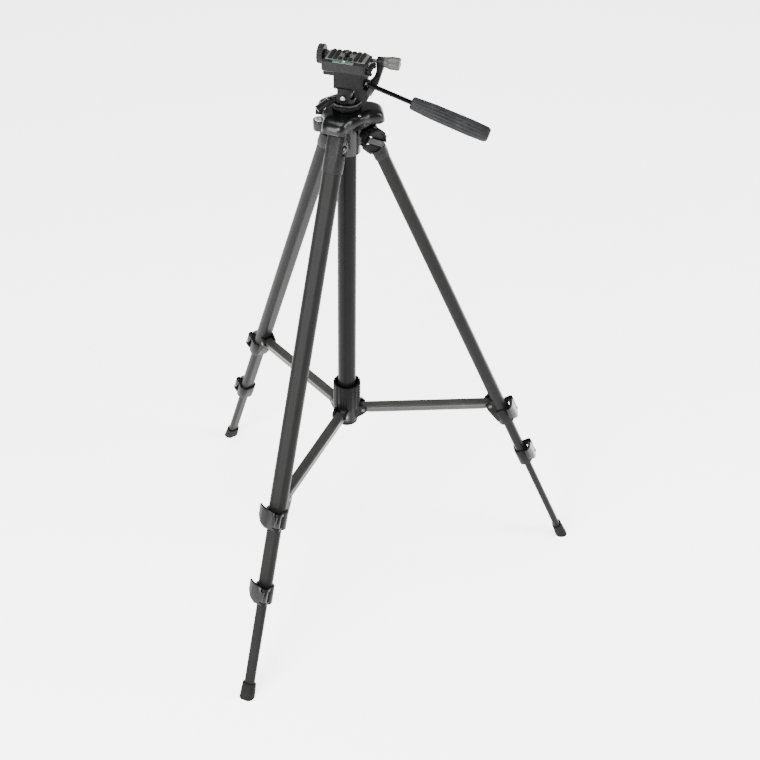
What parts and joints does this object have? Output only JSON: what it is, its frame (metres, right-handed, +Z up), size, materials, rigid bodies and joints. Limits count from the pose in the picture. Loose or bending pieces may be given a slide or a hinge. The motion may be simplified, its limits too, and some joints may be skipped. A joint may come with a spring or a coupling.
{
  "type": "camera tripod",
  "caption": "Folding three-section tripod with braced legs, cranked centre column and a pan-and-tilt head with a quick-release plate and handle.",
  "frame": {"origin": "on the floor, under the middle of the whole object's box; the column stands 82 mm to its -X side", "axes": "+Z up along the column; +X towards the foot of the right leg"},
  "size_m": [0.5109, 0.5876, 0.8189],
  "materials": {
    "leg_tube": "anodised, satin",
    "leg_casting": "fine moulded texture",
    "black_plastic": "moulded, slight sheen",
    "gloss_black": "moulded, glossy",
    "brace_grey": "moulded, satin",
    "column_black": "anodised, satin",
    "rubber": "matte",
    "steel": "plated",
    "dark_steel": "gloss black",
    "grey_plastic": "moulded, satin",
    "chrome": "polished",
    "grip_rubber": "soft, matte",
    "vial_green": "clear, tinted",
    "vial_amber": "clear, tinted"
  },
  "bodies": {
    "crown": {"crown_casting": "gloss_black", "column_shroud": "column_black", "shroud_end_stop": "black_plastic", "leg_pivot_bolts": "steel", "level_vial": "vial_amber"},
    "column_lock": {"column_lock_knob": "black_plastic"},
    "hub": {"brace_hub": "black_plastic", "hub_pins": "steel"},
    "right_brace": {"right_brace": "brace_grey"},
    "right_leg_upper": {"right_leg_top_fitting": "leg_casting", "right_upper_tube": "leg_tube", "right_upper_lock_collar": "black_plastic", "right_brace_pin": "steel"},
    "right_upper_lever": {"right_upper_lock_lever": "gloss_black"},
    "right_leg_middle": {"right_middle_tube": "leg_tube", "right_lower_lock_collar": "black_plastic"},
    "right_lower_lever": {"right_lower_lock_lever": "gloss_black"},
    "right_leg_lower": {"right_lower_tube": "leg_tube", "right_foot": "rubber"},
    "left_brace": {"left_brace": "brace_grey"},
    "left_leg_upper": {"left_leg_top_fitting": "leg_casting", "left_upper_tube": "leg_tube", "left_upper_lock_collar": "black_plastic", "left_brace_pin": "steel"},
    "left_upper_lever": {"left_upper_lock_lever": "gloss_black"},
    "left_leg_middle": {"left_middle_tube": "leg_tube", "left_lower_lock_collar": "black_plastic"},
    "left_lower_lever": {"left_lower_lock_lever": "gloss_black"},
    "left_leg_lower": {"left_lower_tube": "leg_tube", "left_foot": "rubber"},
    "front_brace": {"front_brace": "brace_grey"},
    "front_leg_upper": {"front_leg_top_fitting": "leg_casting", "front_upper_tube": "leg_tube", "front_upper_lock_collar": "black_plastic", "front_brace_pin": "steel"},
    "front_upper_lever": {"front_upper_lock_lever": "gloss_black"},
    "front_leg_middle": {"front_middle_tube": "leg_tube", "front_lower_lock_collar": "black_plastic"},
    "front_lower_lever": {"front_lower_lock_lever": "gloss_black"},
    "front_leg_lower": {"front_lower_tube": "leg_tube", "front_foot": "rubber"},
    "column": {"centre_column": "column_black", "pan_base": "black_plastic"},
    "crank": {"crank_shaft": "steel", "crank_dial": "black_plastic"},
    "crank_arm": {"crank_arm": "gloss_black"},
    "crank_grip": {"crank_grip": "gloss_black"},
    "pan": {"pan_housing": "gloss_black"},
    "pan_lock": {"pan_lock_lever": "gloss_black"},
    "tilt": {"tilt_block": "black_plastic"},
    "handle": {"handle_rod": "dark_steel", "handle_grip": "grip_rubber"},
    "platform": {"platform": "black_plastic", "platform_vial": "vial_green"},
    "side_knob_front": {"side_tilt_front_knob": "black_plastic"},
    "side_knob_lock": {"side_tilt_lock_knob": "grey_plastic"},
    "release": {"release_lever": "black_plastic"},
    "plate": {"quick_release_plate": "black_plastic", "plate_pads": "rubber"},
    "camera_screw": {"camera_screw": "steel"}
  },
  "joints": [
    {"name": "fold", "type": "slide", "parent": "crown", "child": "hub", "axis": [0, 0, 1], "range_m": [0, 0.14176]},
    {"name": "right_brace_fold", "type": "hinge", "parent": "hub", "child": "right_brace", "pos_m": [-0.06, 0, 0.269], "axis": [0, 1, 0], "range_deg": [-0.05, 83.05]},
    {"name": "right_leg_fold", "type": "hinge", "parent": "right_brace", "child": "right_leg_upper", "pos_m": [0.12131, 0, 0.26202], "axis": [0, -1, 0], "range_deg": [-0.05, 62.45]},
    {"name": "right_upper_lever_flip", "type": "hinge", "parent": "right_leg_upper", "child": "right_upper_lever", "pos_m": [0.15754, 0.0095, 0.25067], "axis": [-0.3875, 0, 0.9219], "range_deg": [0, 100]},
    {"name": "right_middle_slide", "type": "slide", "parent": "right_leg_upper", "child": "right_leg_middle", "axis": [0.3875, 0, -0.9219], "range_m": [-0.058, 0.294]},
    {"name": "right_lower_lever_flip", "type": "hinge", "parent": "right_leg_middle", "child": "right_lower_lever", "pos_m": [0.18921, 0.00735, 0.1707], "axis": [-0.3875, 0, 0.9219], "range_deg": [0, 100]},
    {"name": "right_lower_slide", "type": "slide", "parent": "right_leg_middle", "child": "right_leg_lower", "axis": [0.3875, 0, -0.9219], "range_m": [-0.1435, 0.2045]},
    {"name": "left_brace_fold", "type": "hinge", "parent": "hub", "child": "left_brace", "pos_m": [-0.093, 0.01905, 0.269], "axis": [-0.866, -0.5, 0], "range_deg": [-0.05, 83.05]},
    {"name": "left_leg_fold", "type": "hinge", "parent": "left_brace", "child": "left_leg_upper", "pos_m": [-0.18366, 0.17607, 0.26202], "axis": [0.866, 0.5, 0], "range_deg": [-0.05, 62.45]},
    {"name": "left_upper_lever_flip", "type": "hinge", "parent": "left_leg_upper", "child": "left_upper_lever", "pos_m": [-0.21, 0.2027, 0.25067], "axis": [0.1938, -0.3356, 0.9219], "range_deg": [0, 100]},
    {"name": "left_middle_slide", "type": "slide", "parent": "left_leg_upper", "child": "left_leg_middle", "axis": [-0.1938, 0.3356, -0.9219], "range_m": [-0.096, 0.256]},
    {"name": "left_lower_lever_flip", "type": "hinge", "parent": "left_leg_middle", "child": "left_lower_lever", "pos_m": [-0.23133, 0.24395, 0.13567], "axis": [0.1938, -0.3356, 0.9219], "range_deg": [0, 100]},
    {"name": "left_lower_slide", "type": "slide", "parent": "left_leg_middle", "child": "left_leg_lower", "axis": [-0.1938, 0.3356, -0.9219], "range_m": [-0.1055, 0.2425]},
    {"name": "front_brace_fold", "type": "hinge", "parent": "hub", "child": "front_brace", "pos_m": [-0.093, -0.01905, 0.269], "axis": [0.866, -0.5, 0], "range_deg": [-0.05, 83.05]},
    {"name": "front_leg_fold", "type": "hinge", "parent": "front_brace", "child": "front_leg_upper", "pos_m": [-0.18366, -0.17607, 0.26202], "axis": [-0.866, 0.5, 0], "range_deg": [-0.05, 62.45]},
    {"name": "front_upper_lever_flip", "type": "hinge", "parent": "front_leg_upper", "child": "front_upper_lever", "pos_m": [-0.19354, -0.2122, 0.25067], "axis": [0.1938, 0.3356, 0.9219], "range_deg": [0, 100]},
    {"name": "front_middle_slide", "type": "slide", "parent": "front_leg_upper", "child": "front_leg_middle", "axis": [-0.1938, -0.3356, -0.9219], "range_m": [-0.081, 0.271]},
    {"name": "front_lower_lever_flip", "type": "hinge", "parent": "front_leg_middle", "child": "front_lower_lever", "pos_m": [-0.21569, -0.24627, 0.14949], "axis": [0.1938, 0.3356, 0.9219], "range_deg": [0, 100]},
    {"name": "front_lower_slide", "type": "slide", "parent": "front_leg_middle", "child": "front_leg_lower", "axis": [-0.1938, -0.3356, -0.9219], "range_m": [-0.1205, 0.2275]},
    {"name": "column_lock_turn", "type": "hinge", "parent": "crown", "child": "column_lock", "pos_m": [-0.11499, 0.00822, 0.7355], "axis": [-0.9703, 0.2419, 0], "range_deg": [-180, 180]},
    {"name": "column_lift", "type": "slide", "parent": "crown", "child": "column", "axis": [0, 0, 1], "range_m": [0, 0.2]},
    {"name": "crank_turn", "type": "hinge", "parent": "crown", "child": "crank", "pos_m": [-0.05148, -0.02626, 0.7094], "axis": [-0.5, 0.866, 0], "range_deg": [-1, 2560]},
    {"name": "crank_arm_unfold", "type": "hinge", "parent": "crank", "child": "crank_arm", "pos_m": [-0.05823, -0.03535, 0.7154], "axis": [-0.433, -0.25, -0.866], "range_deg": [0, 180]},
    {"name": "crank_grip_spin", "type": "hinge", "parent": "crank_arm", "child": "crank_grip", "pos_m": [-0.04223, -0.02323, 0.7039], "axis": [0.5, -0.866, 0], "continuous": true},
    {"name": "pan_turn", "type": "hinge", "parent": "column", "child": "pan", "pos_m": [-0.082, 0, 0.755], "axis": [0, 0, 1], "continuous": true},
    {"name": "pan_lock_turn", "type": "hinge", "parent": "pan", "child": "pan_lock", "pos_m": [-0.104, -0.00673, 0.757], "axis": [-0.9563, -0.2924, 0], "range_deg": [-90, 90]},
    {"name": "tilt", "type": "hinge", "parent": "pan", "child": "tilt", "pos_m": [-0.082, 0, 0.764], "axis": [-0.3811, -0.9245, 0], "range_deg": [-15, 38]},
    {"name": "handle_twist", "type": "hinge", "parent": "tilt", "child": "handle", "pos_m": [-0.06172, -0.01377, 0.783], "axis": [0.8856, -0.365, -0.2874], "range_deg": [-180, 180]},
    {"name": "side_tilt", "type": "hinge", "parent": "tilt", "child": "platform", "pos_m": [-0.0759, 0.01479, 0.8032], "axis": [-0.9245, 0.3811, 0], "range_deg": [0, 90]},
    {"name": "front_knob_turn", "type": "hinge", "parent": "tilt", "child": "side_knob_front", "pos_m": [-0.11011, 0.02889, 0.8032], "axis": [0.9245, -0.3811, 0], "range_deg": [-180, 180]},
    {"name": "lock_knob_turn", "type": "hinge", "parent": "tilt", "child": "side_knob_lock", "pos_m": [-0.02968, -0.00426, 0.8032], "axis": [0.9245, -0.3811, 0], "range_deg": [-180, 180]},
    {"name": "release_lever_turn", "type": "hinge", "parent": "platform", "child": "release", "pos_m": [-0.05754, -0.02306, 0.802], "axis": [0, 0, -1], "range_deg": [0, 70]},
    {"name": "plate_lift", "type": "slide", "parent": "platform", "child": "plate", "axis": [0, 0, 1], "range_m": [0, 0.02]},
    {"name": "camera_screw_turn", "type": "hinge", "parent": "plate", "child": "camera_screw", "pos_m": [-0.08101, 0.0024, 0.812], "axis": [0, 0, 1], "continuous": true}
  ],
  "couplings": [
    {"joint": "right_brace_fold", "follows": "fold", "rad_per_m": 10.219},
    {"joint": "right_leg_fold", "follows": "fold", "rad_per_m": 7.6827},
    {"joint": "left_brace_fold", "follows": "fold", "rad_per_m": 10.219},
    {"joint": "left_leg_fold", "follows": "fold", "rad_per_m": 7.6827},
    {"joint": "front_brace_fold", "follows": "fold", "rad_per_m": 10.219},
    {"joint": "front_leg_fold", "follows": "fold", "rad_per_m": 7.6827},
    {"joint": "crank_turn", "follows": "column_lift", "rad_per_m": 222.22}
  ]
}
